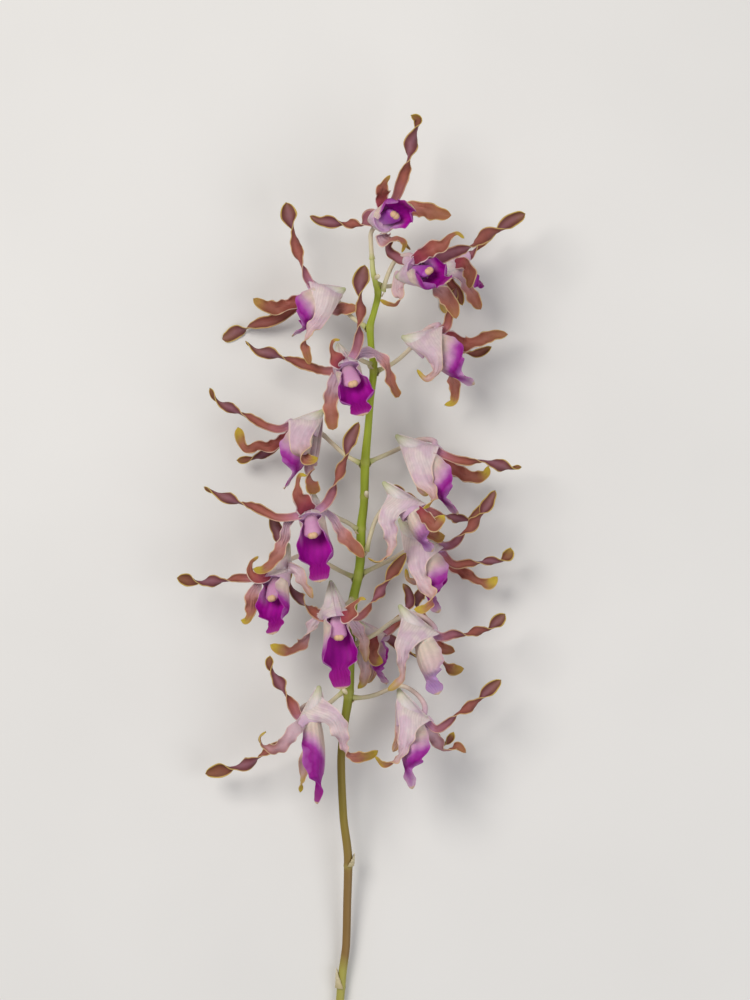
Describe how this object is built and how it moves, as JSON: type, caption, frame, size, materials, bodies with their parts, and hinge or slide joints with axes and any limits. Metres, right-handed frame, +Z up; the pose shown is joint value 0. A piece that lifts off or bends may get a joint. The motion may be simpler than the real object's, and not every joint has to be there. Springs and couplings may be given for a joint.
{
  "type": "dendrobium orchid stem",
  "caption": "Cut flowering stem of an antelope-type dendrobium orchid, lying down, with twisted mauve-brown petals and magenta lips.",
  "frame": {"origin": "middle of the footprint of the whole stem, on the surface it lies on", "axes": "+Y along the stem from its cut end to its tip, +Z up from the surface, +X to the right of a viewer looking down with the tip away from them"},
  "size_m": [0.1571, 0.4154, 0.062],
  "materials": {
    "stem_green": "satin green stem, olive to brown lower down",
    "sheath_straw": "dry papery sheath",
    "tepal_mauve": "soft petal, mauve-brown inside, pale outside",
    "lip_magenta": "velvety petal",
    "column_cream": "waxy petal"
  },
  "bodies": {
    "root": {"stem": "stem_green", "sheath_upper": "sheath_straw", "sheath_lower": "sheath_straw", "bloom_01_tepals": "tepal_mauve", "bloom_01_lip": "lip_magenta", "bloom_01_column": "column_cream", "bloom_02_tepals": "tepal_mauve", "bloom_02_lip": "lip_magenta", "bloom_02_column": "column_cream", "bloom_03_tepals": "tepal_mauve", "bloom_03_lip": "lip_magenta", "bloom_03_column": "column_cream", "bloom_04_tepals": "tepal_mauve", "bloom_04_lip": "lip_magenta", "bloom_04_column": "column_cream", "bloom_05_tepals": "tepal_mauve", "bloom_05_lip": "lip_magenta", "bloom_05_column": "column_cream", "bloom_06_tepals": "tepal_mauve", "bloom_06_lip": "lip_magenta", "bloom_06_column": "column_cream", "bloom_07_tepals": "tepal_mauve", "bloom_07_lip": "lip_magenta", "bloom_07_column": "column_cream", "bloom_08_tepals": "tepal_mauve", "bloom_08_lip": "lip_magenta", "bloom_08_column": "column_cream", "bloom_09_tepals": "tepal_mauve", "bloom_09_lip": "lip_magenta", "bloom_09_column": "column_cream", "bloom_10_tepals": "tepal_mauve", "bloom_10_lip": "lip_magenta", "bloom_10_column": "column_cream", "bloom_11_tepals": "tepal_mauve", "bloom_11_lip": "lip_magenta", "bloom_11_column": "column_cream", "bloom_12_tepals": "tepal_mauve", "bloom_12_lip": "lip_magenta", "bloom_12_column": "column_cream", "bloom_13_tepals": "tepal_mauve", "bloom_13_lip": "lip_magenta", "bloom_13_column": "column_cream", "bloom_14_tepals": "tepal_mauve", "bloom_14_lip": "lip_magenta", "bloom_14_column": "column_cream", "bloom_15_tepals": "tepal_mauve", "bloom_15_lip": "lip_magenta", "bloom_15_column": "column_cream", "bloom_16_tepals": "tepal_mauve", "bloom_16_lip": "lip_magenta", "bloom_16_column": "column_cream", "bloom_17_tepals": "tepal_mauve", "bloom_17_lip": "lip_magenta", "bloom_17_column": "column_cream"}
  },
  "joints": []
}
